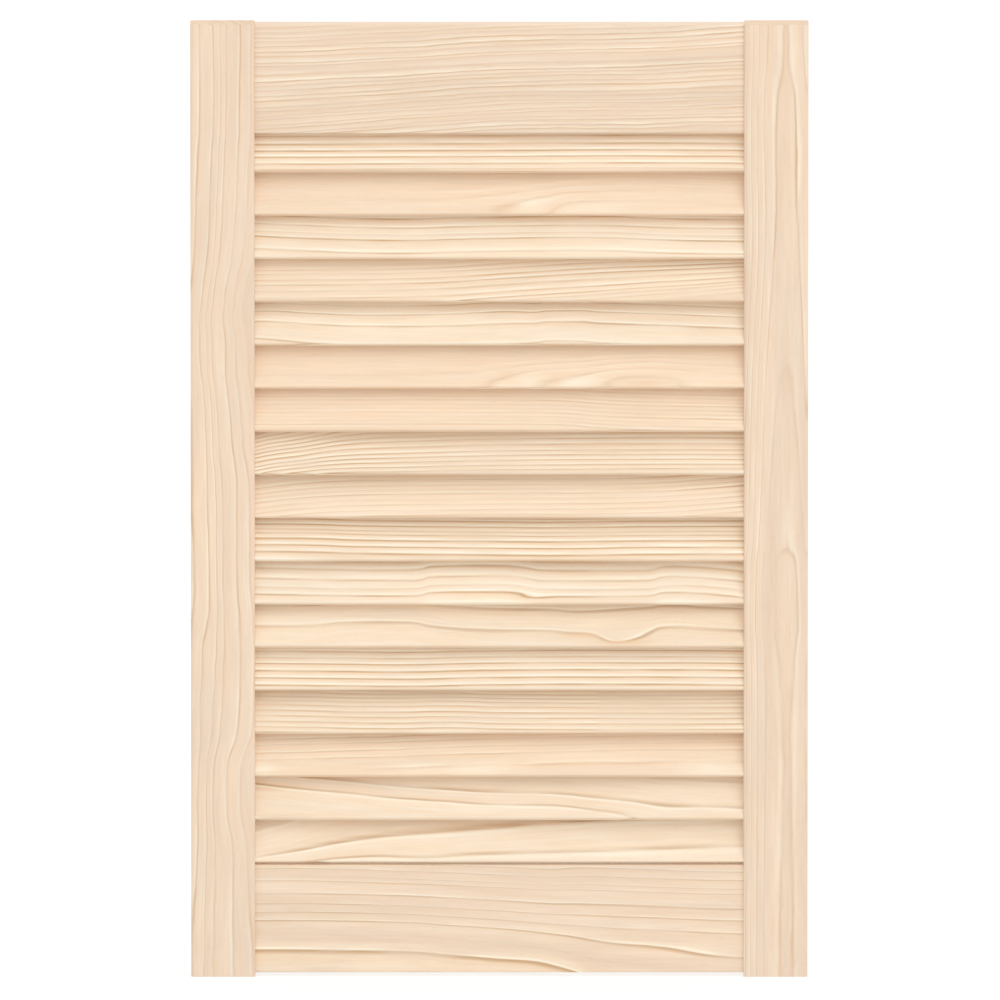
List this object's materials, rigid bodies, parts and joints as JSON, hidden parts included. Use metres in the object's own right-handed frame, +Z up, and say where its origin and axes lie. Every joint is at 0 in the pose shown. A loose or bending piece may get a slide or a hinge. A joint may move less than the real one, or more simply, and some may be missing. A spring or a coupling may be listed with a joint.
{
  "type": "louvred cabinet door",
  "caption": "Pale bare pine cabinet door with fixed slanted louvre slats housed between two stiles and dowelled rails.",
  "frame": {"origin": "middle of the door's width and thickness, at the foot of the stiles", "axes": "+Z up the stiles, +X to the right seen from the front, +Y from the front face to the back face"},
  "size_m": [0.394, 0.021, 0.615],
  "materials": {
    "stile_pine": "bare planed pine",
    "rail_pine": "bare planed pine",
    "slat_pine": "bare planed pine",
    "dowel_beech": "fluted beech"
  },
  "bodies": {
    "root": {"stile_left": "stile_pine", "stile_right": "stile_pine", "top_rail": "rail_pine", "bottom_rail": "rail_pine", "slat_01": "slat_pine", "slat_02": "slat_pine", "slat_03": "slat_pine", "slat_04": "slat_pine", "slat_05": "slat_pine", "slat_06": "slat_pine", "slat_07": "slat_pine", "slat_08": "slat_pine", "slat_09": "slat_pine", "slat_10": "slat_pine", "slat_11": "slat_pine", "slat_12": "slat_pine", "slat_13": "slat_pine", "slat_14": "slat_pine", "slat_15": "slat_pine", "slat_16": "slat_pine", "slat_17": "slat_pine", "dowel_top_left_upper": "dowel_beech", "dowel_top_left_lower": "dowel_beech", "dowel_top_right_upper": "dowel_beech", "dowel_top_right_lower": "dowel_beech", "dowel_bottom_left_upper": "dowel_beech", "dowel_bottom_left_lower": "dowel_beech", "dowel_bottom_right_upper": "dowel_beech", "dowel_bottom_right_lower": "dowel_beech"}
  },
  "joints": []
}
